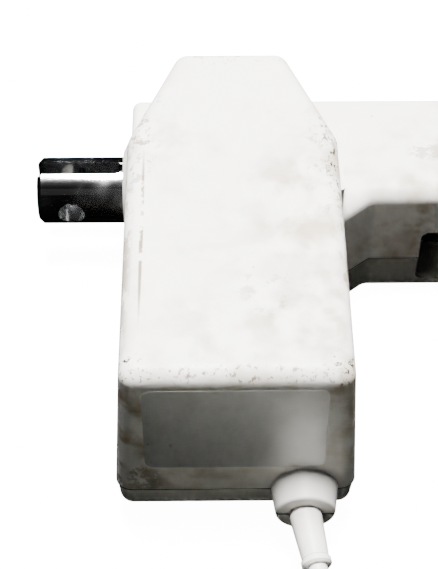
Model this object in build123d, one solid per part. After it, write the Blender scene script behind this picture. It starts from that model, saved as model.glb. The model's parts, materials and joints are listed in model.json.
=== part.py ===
from build123d import *
import math
import os

# Electric linear actuator, in millimetres.
# X runs along the spindle from the rear fork to the front fork, the motor lies along -Y and +Z is up.
# The origin is the centre of the rear fork's pin hole, with the rod drawn in.

# Mounting and travel
installed_length = 283.0
stroke = 100.0
rod_diameter = 25.0
pin_hole_diameter = 10.0
fork_slot_width = 6.0
fork_slot_length = 32.0
pin_to_fork_end = 12.7
fork_edge_round = 1.6

# Housing
box_centre = 60.0
box_half_width = 39.9
box_reach = 126.0
nose_reach = 27.5
nose_half_width = 21.7
nose_corner_reach = 18.0
tube_half_width = 26.5
tube_end = 250.0
shoulder_reach = 35.6
shoulder_run = 11.5
parting_height = -10.0
cover_top = 49.0
base_top = 24.0
box_back = -21.0
tube_back = -28.0
draft_angle = 3.5
corner_round = 5.2
cover_edge_round = 5.5
base_near_round = 6.0
base_rear_round = 3.0
base_corner_round = 3.4
base_overlap = 12.0
back_edge_round = 2.5
wall = 2.6
lip_step = 0.4
base_step = 0.3
base_rear_step = 1.0
collar_proud = 0.5
collar_root_radius = 19.0
collar_face_radius = 14.8
collar_land = 0.6
collar_round = 1.0
lug_from = 19.0
lug_to = 32.0
lug_top = 34.0
lug_inset = 0.6
lug_round = 1.5
lug_root = 4.0
window_start = 130.0
window_length = 60.0
window_low = -23.2
window_high = 3.5
window_corner = 3.0
screw_radius = 1.5
screw_head_radius = 2.9
screw_head_height = 2.0
screw_sink = 1.2
screw_bite = 9.0
screw_hole_gap = 0.2
screw_head_gap = 0.3
screw_recess_radius = 1.2
screw_recess_depth = 1.4
pillar_radius = 3.6
pillar_inset = 8.9
pillar_rows = (-115.5, -62.0)
rib_thickness = 2.0
rib_gap = 0.3
saddle_places = (-100.0, -52.0)
saddle_rise = 6.0
cradle_offset = 12.0
cradle_half_width = 16.0
cradle_drop = 6.0
tube_pillar_inset = 7.4
corner_pillar_inset = 7.0
shoulder_pillar_inset = 4.0
bore_gap = 0.2
past = 10.0

# Cable outlet
gland_offset = 22.7
gland_length = 9.5
gland_root_radius = 11.6
gland_face_radius = 9.8
gland_round = 1.2
relief_root_radius = 5.4
relief_tip_radius = 4.45
relief_length = 15.8
relief_flange_radius = 7.2
relief_flange_thickness = 2.2
relief_neck_radius = 4.9
relief_neck_bite = 1.5
bead_radius = 4.95
bead_width = 3.0
bead_round = 0.7
relief_lean = 9.0
cable_diameter = 6.4

# Worm drive
gear_module = 1.2
wheel_teeth = 28
worm_pitch_radius = 5.7
worm_turns = 5
pressure_angle = 20.0
tooth_backlash = 0.24
wheel_width = 9.0
hub_radius = 10.0
hub_length = 17.5

# Motor
motor_radius = 22.0
motor_wall = 1.6
motor_length = 64.0
motor_flange_reach = 38.0
motor_flange_thickness = 4.0
shaft_radius = 4.0
rotor_radius = 15.5
rotor_length = 32.0
rotor_slots = 8
magnet_gap = 0.6
winding_length = 5.0
winding_gap = 1.2
winding_chamfer = 1.4
commutator_radius = 8.0
commutator_length = 9.0

# Spindle, nut and rod
spindle_radius = 7.0
wheel_seat_radius = 6.0
rear_journal_radius = 5.0
running_gap = 0.05
nut_start = 100.0
nut_length = 24.0
nut_spigot_length = 8.0
guide_outer_radius = 20.5
guide_inner_radius = 17.5
guide_start = 84.0
key_width = 6.0
key_depth = 1.5
rod_wall = 2.0
bush_length = 18.0
cap_length = 12.0

# Bearings as bore radius, outside radius and width
rear_bearing_size = (rear_journal_radius, 13.0, 8.0)
front_bearing_size = (wheel_seat_radius, 14.0, 8.0)
motor_bearing_size = (shaft_radius, 11.0, 7.0)

# Cable route beyond the strain relief, and its coil
free_runs = (12.0, 15.0, 15.0, 12.0)
free_drop = 3.4
coil_radius = 33.0
coil_slack = 0.15
tail_runs = (14.0, 18.0, 18.0, 18.0, 14.0)
tail_turns = (22.0, 27.5, 27.5, 22.0)
plug_length = 24.0
plug_width = 12.6
plug_height = 9.6
plug_back_length = 9.0
plug_back_width = 8.0
plug_latch = 1.3
socket_offset = 3.0
socket_radius = 1.6

fit_gap = 0.1
draft_slope = math.tan(math.radians(draft_angle))
rod_radius = rod_diameter / 2
gland_x = box_centre + gland_offset
tube_bore_radius = rod_radius - rod_wall
worm_height = worm_pitch_radius + gear_module * wheel_teeth / 2
cap_end = tube_end + cap_length
rod_start = nut_start + nut_length


def moved_in(corners, distance, keep_round=False):
    """Corners (x, y, radius) of an anticlockwise outline with every side moved inwards."""
    moved = []
    for i, (x, y, radius) in enumerate(corners):
        x0, y0, _ = corners[i - 1]
        x1, y1, _ = corners[(i + 1) % len(corners)]
        before = Vector(x - x0, y - y0).normalized()
        after = Vector(x1 - x, y1 - y).normalized()
        normals = Vector(-before.Y - after.Y, before.X + after.X)
        share = distance / (1 + before.dot(after))
        turn = before.cross(after).Z
        change = 0 if keep_round or radius == 0 else math.copysign(distance, turn)
        rounded = max(radius - change, min(radius, 1.0))
        moved.append((x + normals.X * share, y + normals.Y * share, rounded))
    return moved


def outline(corners, height):
    """Flat face inside corners at a height, with each corner rounded that has a radius."""
    face = Sketch() + make_face(Polyline(*[(x, y) for x, y, radius in corners], close=True))
    for x, y, radius in corners:
        if radius > 0:
            face = fillet(face.vertices().sort_by_distance((x, y, 0))[0], radius)
    return Pos(0, 0, height) * face


def drafted(corners, start, end):
    """Block from the parting plane to its far face, leaning inwards by the draft angle."""
    shrink = abs(end - start) * draft_slope
    far = moved_in(corners, shrink, keep_round=True)
    return loft([outline(corners, start), outline(far, end)], ruled=True)


def far_edges(block, start, end):
    """Edges of a drafted block's far face."""
    return block.faces().sort_by(Axis.Z)[-1 if end > start else 0].edges()


def moulded_block(corners, start, end, edge_round):
    """Drafted block whose far face has a rounded edge all round."""
    block = drafted(corners, start, end)
    return fillet(far_edges(block, start, end), edge_round)


def base_block(corners, start, end, near_round, rear_round):
    """Drafted block of gearbox and tube, rounded along its -Y side and its other outer sides."""
    block = drafted(corners, start, end)
    hidden = -shoulder_reach - base_overlap / 2
    shown = [e for e in far_edges(block, start, end) if e.center().Y > hidden and e.center().X < far_x - 5]
    near = [e for e in shown if e.center().Y < -tube_half_width / 2]
    rear = [e for e in shown if e.center().Y >= -tube_half_width / 2]
    if near_round > 0:
        block = fillet(near, near_round)
        shown = far_edges(block, start, end)
        rear = [e for e in shown if e.center().Y >= -tube_half_width / 2 and e.center().X < far_x - 5]
    return fillet(rear, rear_round) if rear_round > 0 else block


def turned(points):
    """Solid turned about the X axis from (along, radius) points."""
    return revolve(make_face(Polyline(*points, close=True)), axis=Axis.X)


def rod_x(radius, start, end, y=0.0, z=0.0):
    """Round bar along X."""
    bar = Cylinder(radius, end - start, align=(Align.CENTER, Align.CENTER, Align.MIN))
    return Pos(start, y, z) * Rot(0, 90, 0) * bar


def rod_y(radius, start, end, x=0.0, z=0.0):
    """Round bar along Y."""
    bar = Cylinder(radius, end - start, align=(Align.CENTER, Align.CENTER, Align.MIN))
    return Pos(x, start, z) * Rot(-90, 0, 0) * bar


def rod_z(radius, start, end, x=0.0, y=0.0):
    """Round bar along Z."""
    bar = Cylinder(radius, end - start, align=(Align.CENTER, Align.CENTER, Align.MIN))
    return Pos(x, y, start) * bar


def slab(low, high):
    """Square-edged block between two corners."""
    size = [b - a for a, b in zip(low, high)]
    return Pos(*low) * Box(*size, align=(Align.MIN, Align.MIN, Align.MIN))


def onto_motor_axis(part):
    """Turns a part made about the X axis onto the motor axis, with its X as Y."""
    return Pos(box_centre, 0, worm_height) * Rot(0, 0, 90) * part


def ball_bearing(size, start):
    """Inner and outer ring of a shielded ball bearing on the X axis. The balls are left out."""
    bore, outside, width = size
    land = bore + (outside - bore) * 0.3
    track = bore + (outside - bore) * 0.7
    shield = 0.6
    end = start + width
    inner = turned([(start, bore), (end, bore), (end, land), (start, land)])
    lip = land + 0.25
    outer = turned(
        [
            (start, lip),
            (start + shield, lip),
            (start + shield, track),
            (end - shield, track),
            (end - shield, lip),
            (end, lip),
            (end, outside - fit_gap / 2),
            (start, outside - fit_gap / 2),
        ]
    )
    return inner, outer


# Plans of the housing at the parting plane, anticlockwise
far_x = tube_end + 20.0
left = box_centre - box_half_width
right = box_centre + box_half_width
cover_plan = [
    (left, -box_reach, corner_round),
    (right, -box_reach, corner_round),
    (right, -nose_corner_reach, corner_round * 2),
    (box_centre + nose_half_width, nose_reach, corner_round),
    (box_centre - nose_half_width, nose_reach, corner_round),
    (left, -nose_corner_reach, corner_round * 2),
]
box_plan = [
    (left, -box_reach, corner_round),
    (right, -box_reach, corner_round),
    (right, 0.0, corner_round),
    (left, 0.0, corner_round),
]
base_plan = [
    (left + base_rear_step, -shoulder_reach - base_overlap, 0),
    (right - base_step, -shoulder_reach - base_overlap, 0),
    (right - base_step, -shoulder_reach, 3.0),
    (right - base_step + shoulder_run, -tube_half_width, 5.0),
    (far_x, -tube_half_width, 0),
    (far_x, tube_half_width, 0),
    (left + base_rear_step, tube_half_width, base_corner_round),
]


def gland_cone():
    """Round cable outlet that both shells share, along -Y in the parting plane."""
    foot = -box_reach + wall
    face = -box_reach - gland_length
    cone = turned([(foot, 0), (foot, gland_root_radius), (face, gland_face_radius), (face, 0)])
    cone = fillet(cone.edges().filter_by(GeomType.CIRCLE).sort_by(Axis.X)[0], gland_round)
    return Pos(box_centre + gland_offset, 0, parting_height) * Rot(0, 0, 90) * cone


def collar_cone():
    """Round collar on the rear wall around the fork."""
    foot = left + base_rear_step + wall
    face = left - collar_proud
    root = left + base_rear_step + collar_land
    profile = [(foot, 0), (foot, collar_root_radius), (root, collar_root_radius)]
    profile += [(face, collar_face_radius), (face, 0)]
    cone = turned(profile)
    return fillet(cone.edges().filter_by(GeomType.CIRCLE).sort_by(Axis.X)[0], collar_round)


def window_cut():
    """Rounded window through the tube's -Y wall."""
    middle = (window_low + window_high) / 2
    frame = RectangleRounded(window_length, window_high - window_low, window_corner)
    opening = extrude(frame, amount=tube_half_width)
    return Pos(window_start + window_length / 2, -guide_outer_radius / 2, middle) * Rot(90, 0, 0) * opening


def screw_places():
    """Centres of the shell screws, with the height of the back face there."""
    sides = (left + pillar_inset, right - pillar_inset)
    places = [(x, y, box_back) for y in pillar_rows for x in sides]
    places.append((left + tube_pillar_inset, tube_half_width - corner_pillar_inset, tube_back))
    places.append((right - tube_pillar_inset, -shoulder_reach - shoulder_pillar_inset, tube_back))
    return places


def half(part, upper):
    """Part of a shape above or below the parting plane."""
    reach = 400.0
    low, high = (parting_height, reach) if upper else (-reach, parting_height)
    return part & slab((-reach, -reach, low), (reach, reach, high))


def shell_holes():
    """What both shells leave open: fork bore, cable bore, window and the tube's mouth."""
    holes = rod_x(rod_radius + bore_gap, left - past, left + past)
    gland_bore = relief_root_radius + fit_gap
    holes += rod_y(gland_bore, -box_reach - gland_length - past, -box_reach + past, gland_x, parting_height)
    holes += window_cut()
    mouth = tube_half_width + past
    holes += slab((tube_end, -mouth, tube_back - past), (far_x + past, mouth, base_top + past))
    return holes


def front_shell():
    """Front moulding: motor cover with its chamfered nose over the gearbox and tube."""
    outer = moulded_block(cover_plan, parting_height, cover_top, cover_edge_round)
    outer += base_block(base_plan, parting_height, base_top, base_near_round, base_rear_round)
    outer += half(gland_cone(), True) + half(collar_cone(), True)
    lug = slab((right - lug_inset - lug_root, -lug_to, base_top - wall), (right - lug_inset, -lug_from, lug_top))
    outer += fillet(lug.edges().filter_by(Axis.Z).group_by(Axis.X)[-1], lug_round)
    inner = moulded_block(moved_in(cover_plan, wall), parting_height, cover_top - wall, cover_edge_round - wall)
    inner += base_block(moved_in(base_plan, wall), parting_height, base_top - wall, base_near_round - wall, 0)
    shell = outer - inner - shell_holes()
    for x, y, _ in screw_places():
        top = (base_top if y > 0 else cover_top) - wall / 2
        pillar = rod_z(pillar_radius, parting_height, top, x, y) & outer
        shell += pillar - rod_z(screw_radius + running_gap, parting_height, parting_height + screw_bite + 1, x, y)
    motor = rod_y(motor_radius + rib_gap, -box_reach, 0, box_centre, worm_height)
    for y in saddle_places:
        saddle = slab((left, y, worm_height + saddle_rise), (right, y + rib_thickness, cover_top))
        shell += (saddle & outer) - motor
    return shell


def back_shell():
    """Back moulding: flat cover of the motor box, and the deeper back of gearbox and tube."""
    outer = moulded_block(moved_in(box_plan, lip_step), parting_height, box_back, back_edge_round)
    outer += base_block(moved_in(base_plan, lip_step), parting_height, tube_back, back_edge_round, back_edge_round)
    outer += half(gland_cone(), False) + half(collar_cone(), False)
    inset = lip_step + wall
    inner = moulded_block(moved_in(box_plan, inset), parting_height, box_back + wall, 1.0)
    inner += base_block(moved_in(base_plan, inset), parting_height, tube_back + wall, 0, 0)
    shell = outer - inner - shell_holes()
    for x, y, back in screw_places():
        shell += rod_z(pillar_radius, back + wall / 2, parting_height, x, y) & outer
    low = tube_back + wall / 2
    for x in (box_centre - cradle_offset, box_centre + cradle_offset):
        rib = slab((x, -cradle_half_width, low), (x + rib_thickness, cradle_half_width, parting_height - cradle_drop))
        shell += rib - rod_x(case_radius + rib_gap, left, tube_end)
    for x, y, back in screw_places():
        seat = back + screw_head_height + screw_sink
        shell -= rod_z(screw_radius + screw_hole_gap, back - past, parting_height + past, x, y)
        shell -= rod_z(screw_head_radius + screw_head_gap, back - past, seat, x, y)
    return shell


def housing_screws():
    """Pan-head screws that close the shells from the back."""
    screws = []
    for x, y, back in screw_places():
        seat = back + screw_head_height + screw_sink
        top = seat - screw_head_height
        head = rod_z(screw_head_radius, top, seat, x, y)
        shank = rod_z(screw_radius, seat, parting_height + screw_bite, x, y)
        recess = rod_z(screw_recess_radius, top - past, top + screw_recess_depth, x, y)
        screws.append(head + shank - recess)
    return screws


# Gear case along the spindle
barrel_radius = 10.5
barrel_end = 19.5
case_radius = gear_module * (wheel_teeth / 2 + 1) + 4.6
chamber_radius = gear_module * (wheel_teeth / 2 + 1) + 0.9
hub_start = box_centre - hub_length / 2
rear_bearing_start = hub_start - 0.5 - rear_bearing_size[2]
case_start = rear_bearing_start
case_end = box_centre + barrel_radius + 0.2
front_bearing_start = guide_start - front_bearing_size[2]
clevis_flange_radius = 15.5
clevis_flange_start = left + base_rear_step + wall + (clevis_flange_radius - parting_height) * draft_slope + rib_gap
clevis_flange_end = clevis_flange_start + 5.6
clevis_spigot_radius = 12.0
lock_nut_width = 5.0
lock_nut_start = rear_bearing_start - 0.2 - lock_nut_width
cross_pin_radius = 1.5
cross_pin_setback = 4.2
clevis_end_gap = 1.5
clevis_bore_radius = 9.6
nose_bush_radius = 6.0
cover_thickness = 4.0
cover_screw_radius = 1.1
cover_screw_inset = 1.95
cover_screw_bite = 7.0


def fork_cut(pin_x, end_side):
    """Slot and pin hole of a fork whose open end is on the -X or +X side of the pin."""
    end = pin_x + end_side * pin_to_fork_end
    root = end - end_side * fork_slot_length
    low, high = min(end + end_side * 2, root), max(end + end_side * 2, root)
    cut = slab((low, -fork_slot_width / 2, -rod_radius - 2), (high, fork_slot_width / 2, rod_radius + 2))
    rounded = fork_slot_width / 2 - 0.05
    cut = fillet(cut.edges().filter_by(Axis.Z).sort_by(Axis.X)[:2] if end_side > 0
                 else cut.edges().filter_by(Axis.Z).sort_by(Axis.X)[-2:], rounded)
    return cut + rod_y(pin_hole_diameter / 2, -rod_radius - 2, rod_radius + 2, pin_x, 0)


def rear_clevis():
    """Plated rear fork with a flange behind the collar and a spigot pinned into the gear case."""
    round_at = fork_edge_round
    end = -pin_to_fork_end
    body = turned(
        [
            (end, 0),
            (end, rod_radius - round_at),
            (end + round_at, rod_radius),
            (clevis_flange_start, rod_radius),
            (clevis_flange_start, clevis_flange_radius),
            (clevis_flange_end, clevis_flange_radius),
            (clevis_flange_end, clevis_spigot_radius),
            (case_start - clevis_end_gap, clevis_spigot_radius),
            (case_start - clevis_end_gap, clevis_bore_radius),
            (lock_nut_start - clevis_end_gap, clevis_bore_radius),
            (lock_nut_start - clevis_end_gap, 0),
        ]
    )
    body -= fork_cut(0, -1)
    for pin in cross_pin_bars(cross_pin_radius + running_gap, clevis_bore_radius - 1, clevis_flange_radius):
        body -= pin
    return body


def cross_pin_bars(radius, low, high):
    """Two bars from above and below, where the rear fork is pinned to the gear case."""
    x = case_start - cross_pin_setback
    return [rod_z(radius, low, high, x), rod_z(radius, -high, -low, x)]


def rear_cross_pin():
    """Two pins that lock the rear fork in the gear case."""
    return cross_pin_bars(cross_pin_radius, clevis_bore_radius, clevis_flange_radius - rib_gap)


def gear_case():
    """Die-cast case: rear socket, wheel chamber, worm barrel and motor flange."""
    socket_start = clevis_flange_end + 0.3
    case = turned(
        [
            (socket_start, 0),
            (socket_start, clevis_flange_radius),
            (case_start - 2, clevis_flange_radius),
            (case_start + 2, case_radius),
            (case_end, case_radius),
            (case_end, 0),
        ]
    )
    flange_face = -motor_flange_reach
    case += rod_y(barrel_radius, flange_face, barrel_end, box_centre, worm_height)
    case += rod_y(motor_radius, flange_face, flange_face + motor_flange_thickness, box_centre, worm_height)
    case += rod_y(motor_bearing_size[1] + 3, flange_face, flange_face + 9, box_centre, worm_height)
    case -= rod_x(clevis_spigot_radius + running_gap, socket_start - 1, case_start - 1)
    case -= rod_x(rear_journal_radius + 4.5, case_start - 2, case_start + 1)
    case -= rod_x(rear_bearing_size[1], case_start, hub_start - 0.5)
    case -= rod_x(chamber_radius, hub_start - 0.5, case_end + 1)
    case -= rod_y(worm_pitch_radius + gear_module + 0.7, flange_face + 6, 14, box_centre, worm_height)
    case -= rod_y(motor_bearing_size[1], flange_face - 1, flange_face + 7, box_centre, worm_height)
    case -= rod_y(nose_bush_radius, 12, barrel_end - 1, box_centre, worm_height)
    for pin in cross_pin_bars(cross_pin_radius + running_gap, clevis_spigot_radius - 1, clevis_flange_radius + 1):
        case -= pin
    for bar in cover_screw_bars(cover_screw_radius + fit_gap / 2, case_end - cover_screw_bite - 1, case_end + 1):
        case -= bar
    for x in (-1, 1):
        case -= rod_y(1.6, flange_face - 1, flange_face + 6, box_centre + x * 17, worm_height)
    return case


def cover_screw_bars(radius, start, end):
    """Four bars at the places of the gear case cover's screws."""
    bars = []
    for angle in (45, 135, 225, 315):
        bars.append(Rot(angle, 0, 0) * rod_x(radius, start, end, case_radius - cover_screw_inset, 0))
    return bars


def gear_case_cover():
    """Front cover of the gear case with the front bearing's seat and the guide tube's spigot."""
    seat = front_bearing_size[1]
    spigot = guide_inner_radius - fit_gap
    cover = turned(
        [
            (case_end, wheel_seat_radius + 3.2),
            (case_end, case_radius),
            (case_end + cover_thickness, case_radius),
            (case_end + cover_thickness, seat + 2.6),
            (guide_start - 3.0, seat + 2.6),
            (guide_start - 3.0, guide_outer_radius),
            (guide_start - 0.1, guide_outer_radius),
            (guide_start - 0.1, spigot),
            (guide_start + 8, spigot),
            (guide_start + 8, seat + 0.6),
            (guide_start, seat + 0.6),
            (guide_start, seat),
            (front_bearing_start, seat),
            (front_bearing_start, wheel_seat_radius + 3.2),
        ]
    )
    for bar in cover_screw_bars(cover_screw_radius + fit_gap, case_end - 1, case_end + cover_thickness + 1):
        cover -= bar
    return cover


def cover_screws():
    """Cap screws that hold the cover on the gear case."""
    seat = case_end + cover_thickness
    heads = cover_screw_bars(cover_screw_radius * 1.7, seat, seat + 2)
    shanks = cover_screw_bars(cover_screw_radius, case_end - cover_screw_bite, seat)
    return [head + shank for head, shank in zip(heads, shanks)]


def worm_wheel():
    """Helical worm wheel with involute teeth and a hub."""
    pitch_radius = gear_module * wheel_teeth / 2
    base_radius = pitch_radius * math.cos(math.radians(pressure_angle))
    tip_radius = pitch_radius + gear_module
    root_radius = pitch_radius - 1.2 * gear_module
    lead_angle = math.atan(gear_module / (2 * worm_pitch_radius))
    twist = math.degrees(wheel_width * math.tan(lead_angle) / pitch_radius)

    def involute(radius):
        rise = math.sqrt(max((radius / base_radius) ** 2 - 1, 0))
        return rise - math.atan(rise)

    half_tooth = math.pi / (2 * wheel_teeth) - tooth_backlash / (2 * pitch_radius) + involute(pitch_radius)
    flank = [(root_radius, half_tooth), (base_radius, half_tooth)]
    for radius in (pitch_radius - 0.3 * gear_module, pitch_radius + 0.4 * gear_module, tip_radius):
        flank.append((radius, half_tooth - involute(radius)))
    ring = []
    for tooth in range(wheel_teeth):
        middle = 2 * math.pi * (tooth + 0.5) / wheel_teeth
        ring += [(r, middle - a) for r, a in flank] + [(r, middle + a) for r, a in reversed(flank)]
    points = [(-r * math.sin(a), r * math.cos(a)) for r, a in ring]
    face = make_face(Polyline(*points, close=True))
    start = Pos(0, 0, -wheel_width / 2) * Rot(0, 0, -twist / 2) * face
    end = Pos(0, 0, wheel_width / 2) * Rot(0, 0, twist / 2) * face
    teeth = loft([start, end], ruled=True)
    wheel = Pos(box_centre, 0, 0) * Rot(0, 90, 0) * Rot(0, 0, 90) * teeth
    wheel += rod_x(hub_radius, hub_start, hub_start + hub_length)
    wheel -= rod_x(wheel_seat_radius + running_gap, hub_start - 1, hub_start + hub_length + 1)
    return wheel - key_block(running_gap)


def key_block(gap):
    """Key between wheel and spindle, grown by a gap for its slots."""
    side = 2.0 + gap
    low = (box_centre - 5 - gap, -side, wheel_seat_radius - 2.2 - gap)
    high = (box_centre + 5 + gap, side, wheel_seat_radius + 1.8 + gap)
    return slab(low, high)


def worm_shaft():
    """Motor shaft with its rolled worm."""
    lead = math.pi * gear_module
    tip = worm_pitch_radius + gear_module
    root = worm_pitch_radius - 1.2 * gear_module
    slope = math.tan(math.radians(pressure_angle))
    half_pitch = lead / 4
    tip_half = half_pitch - gear_module * slope
    foot = root - 0.3
    foot_half = half_pitch + (worm_pitch_radius - foot) * slope
    thread_length = lead * worm_turns
    thread = make_face(
        Polyline((foot, 0, -foot_half), (tip, 0, -tip_half), (tip, 0, tip_half), (foot, 0, foot_half), close=True)
    )
    worm = sweep(thread, path=Helix(lead, thread_length, worm_pitch_radius), is_frenet=True)
    worm = Pos(0, 0, -lead * (worm_turns // 2 + 0.25)) * worm
    core = Cylinder(root, thread_length + 6)
    worm = Pos(box_centre, 0, worm_height) * Rot(-90, 0, 0) * (worm + core)
    back = -motor_flange_reach - motor_length - 1.0
    return worm + rod_y(shaft_radius, back, barrel_end - 1.6, box_centre, worm_height)


def nose_bush():
    """Sintered bush for the worm's far end."""
    gap = shaft_radius + running_gap
    outside = nose_bush_radius - fit_gap / 2
    end = barrel_end - 1.1
    return onto_motor_axis(turned([(14.2, gap), (14.2, outside), (end, outside), (end, gap)]))


can_open = -motor_flange_reach - 4.0
can_closed = can_open - motor_length


def motor_can():
    """Drawn steel can, closed at its rear with a bearing pocket."""
    inner = motor_radius - motor_wall
    return onto_motor_axis(
        turned(
            [
                (can_closed, 0),
                (can_closed, motor_radius),
                (can_open, motor_radius),
                (can_open, inner),
                (can_closed + motor_wall, inner),
                (can_closed + motor_wall, 6.1),
                (can_closed + motor_wall - 1.0, 6.1),
                (can_closed + motor_wall - 1.0, 0),
            ]
        )
    )


def motor_front_plate():
    """Front plate that closes the can against the gear case."""
    plate = turned(
        [
            (can_open, shaft_radius + 2.5),
            (can_open, motor_radius),
            (-motor_flange_reach, motor_radius),
            (-motor_flange_reach, shaft_radius + 2.5),
        ]
    )
    plate = onto_motor_axis(plate)
    for x in (-1, 1):
        plate -= rod_y(1.6, can_open - 1, -motor_flange_reach + 1, box_centre + x * 17, worm_height)
    return plate


def motor_screws():
    """Screws from inside the motor into the gear case."""
    screws = []
    for x in (-1, 1):
        screw = rod_y(2.6, can_open - 2, can_open, box_centre + x * 17, worm_height)
        screw += rod_y(1.5, can_open, -motor_flange_reach + motor_flange_thickness - 0.5, box_centre + x * 17, worm_height)
        screws.append(screw)
    return screws


rotor_start = can_closed + 20.0
rotor_end = rotor_start + rotor_length


def armature_core():
    """Slotted lamination stack."""
    core = Cylinder(rotor_radius, rotor_length)
    for i in range(rotor_slots):
        slot = Pos(rotor_radius - 3.2, 0, 0) * Cylinder(2.4, rotor_length + 1)
        slot += Pos(rotor_radius - 0.5, 0, 0) * Box(3.0, 1.6, rotor_length + 1)
        core -= Rot(0, 0, i * 360 / rotor_slots) * slot
    core -= Cylinder(shaft_radius + running_gap, rotor_length + 1)
    return Pos(box_centre, rotor_start + rotor_length / 2, worm_height) * Rot(-90, 0, 0) * core


def armature_windings():
    """End turns of the winding at both ends of the stack."""
    low = shaft_radius + winding_gap
    high = rotor_radius - winding_chamfer
    ends = []
    for start in (rotor_start - winding_length - fit_gap, rotor_end + fit_gap):
        ring = turned([(start, low), (end := start + winding_length, low), (end, high), (start, high)])
        ends.append(onto_motor_axis(chamfer(ring.edges().filter_by(GeomType.CIRCLE), winding_chamfer)))
    return ends


def commutator():
    """Copper commutator on the shaft."""
    start = can_closed + 5.0
    end = start + commutator_length
    body = [(start, shaft_radius + running_gap), (start, commutator_radius), (end - 1.5, commutator_radius)]
    body += [(end - 1.5, commutator_radius + 1.5), (end, commutator_radius + 1.5), (end, shaft_radius + running_gap)]
    return onto_motor_axis(turned(body))


def brush_holder():
    """Moulded ring that carries the brushes."""
    start = can_closed + motor_wall + 0.2
    end = start + 10.5
    outer = motor_radius - motor_wall - fit_gap
    ring = [(start, 17.5), (start, outer), (end, outer), (end, 17.5)]
    holder = onto_motor_axis(turned(ring))
    middle = can_closed + 5.0 + (commutator_length - 1.5) / 2
    for side in (-1, 1):
        x = box_centre + side * 14.0
        box = Pos(x, middle, worm_height) * Box(9.0, 7.0, 8.0)
        holder += box & onto_motor_axis(rod_x(outer, start, end))
    for side in (-1, 1):
        x = box_centre + side * 12.0
        holder -= Pos(x, middle, worm_height) * Box(13.0, 5.1, 6.1)
    return holder


def brushes():
    """Two carbon brushes on the commutator."""
    middle = can_closed + 5.0 + (commutator_length - 1.5) / 2
    blocks = []
    for side in (-1, 1):
        block = Pos(box_centre + side * 12.0, middle, worm_height) * Box(10.0, 5.0, 6.0)
        blocks.append(block - onto_motor_axis(rod_x(commutator_radius + 0.1, can_closed, can_open)))
    return blocks


def motor_magnets():
    """Two arc magnets in the can."""
    outer = motor_radius - motor_wall - running_gap
    inner = rotor_radius + magnet_gap
    ring = Cylinder(outer, rotor_length + 4) - Cylinder(inner, rotor_length + 5)
    middle = rotor_start + rotor_length / 2
    arcs = []
    for side in (-1, 1):
        wedge = Pos(0, side * motor_radius, 0) * Box(2.2 * motor_radius, 2 * motor_radius - 9.0, rotor_length + 5)
        arcs.append(Pos(box_centre, middle, worm_height) * Rot(-90, 0, 0) * (ring & wedge))
    return arcs


def rear_bush():
    """Sintered bush in the can's pocket."""
    start = can_closed + motor_wall - 0.9
    gap = shaft_radius + running_gap
    end = can_closed + 4.6
    return onto_motor_axis(turned([(start, gap), (start, 6.0), (end, 6.0), (end, gap)]))


spindle_rear_end = lock_nut_start - 1.0
spindle_end = tube_end - bush_length + 1.0


def spindle():
    """Lead screw with its journals and key slot. The thread is left plain."""
    shaft = turned(
        [
            (spindle_rear_end, 0),
            (spindle_rear_end, rear_journal_radius - 0.8),
            (spindle_rear_end + 0.8, rear_journal_radius),
            (hub_start - 0.5, rear_journal_radius),
            (hub_start - 0.5, wheel_seat_radius),
            (guide_start + 0.5, wheel_seat_radius),
            (guide_start + 0.5, spindle_radius),
            (spindle_end - 1, spindle_radius),
            (spindle_end, spindle_radius - 1),
            (spindle_end, 0),
        ]
    )
    return shaft - key_block(running_gap)


def lock_nut():
    """Hexagon nut that pulls the rear bearing up."""
    prism = extrude(RegularPolygon(8.0, 6, major_radius=False), amount=lock_nut_width)
    nut = Pos(lock_nut_start, 0, 0) * Rot(0, 90, 0) * prism
    return nut - rod_x(rear_journal_radius + running_gap, lock_nut_start - 1, lock_nut_start + lock_nut_width + 1)


def spindle_spacer():
    """Sleeve between the wheel and the front bearing."""
    start = hub_start + hub_length + 0.1
    bore = wheel_seat_radius + running_gap
    end = front_bearing_start - 0.1
    return turned([(start, bore), (start, bore + 2.6), (end, bore + 2.6), (end, bore)])


def bearing_circlip():
    """Ring that keeps the front bearing in the cover."""
    outside = front_bearing_size[1] + 0.5
    ring = [(guide_start + 0.1, 11.8), (guide_start + 0.1, outside), (guide_start + 1.3, outside), (guide_start + 1.3, 11.8)]
    return turned(ring) - slab((guide_start, -3, 0), (guide_start + 2, 3, 20))


def spindle_stop():
    """Washer and screw at the spindle's front end."""
    radius = tube_bore_radius - 0.4
    start = spindle_end + 0.1
    return turned([(start, 0), (start, radius), (start + 2.4, radius), (start + 2.4, 4.5), (start + 5, 4.5), (start + 5, 0)])


def spindle_nut():
    """Moulded nut with two guide keys, a switch cam and a spigot for the rod."""
    body_radius = guide_inner_radius - 0.3
    bore = spindle_radius + running_gap
    spigot = tube_bore_radius - running_gap
    spigot_end = rod_start + nut_spigot_length
    nut = turned(
        [
            (nut_start, bore),
            (nut_start, body_radius - 1),
            (nut_start + 1, body_radius),
            (rod_start - 1, body_radius),
            (rod_start, body_radius - 1),
            (rod_start, spigot),
            (spigot_end, spigot),
            (spigot_end, bore),
        ]
    )
    reach = guide_inner_radius + key_depth - 0.3
    for side in (-1, 1):
        key = slab((nut_start + 2, -key_width / 2 + 0.2, 0), (rod_start - 2, key_width / 2 - 0.2, reach))
        key -= rod_x(body_radius - 2, nut_start, rod_start)
        nut += Rot(90 - side * 90, 0, 0) * key
    cam = slab((nut_start + 6, -2.4, body_radius - 2), (rod_start - 6, 2.4, guide_inner_radius + 1.0))
    cam = chamfer(cam.edges().filter_by(Axis.Y).group_by(Axis.Z)[-1], 0.9)
    return nut + Rot(-switch_angle, 0, 0) * cam


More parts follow.
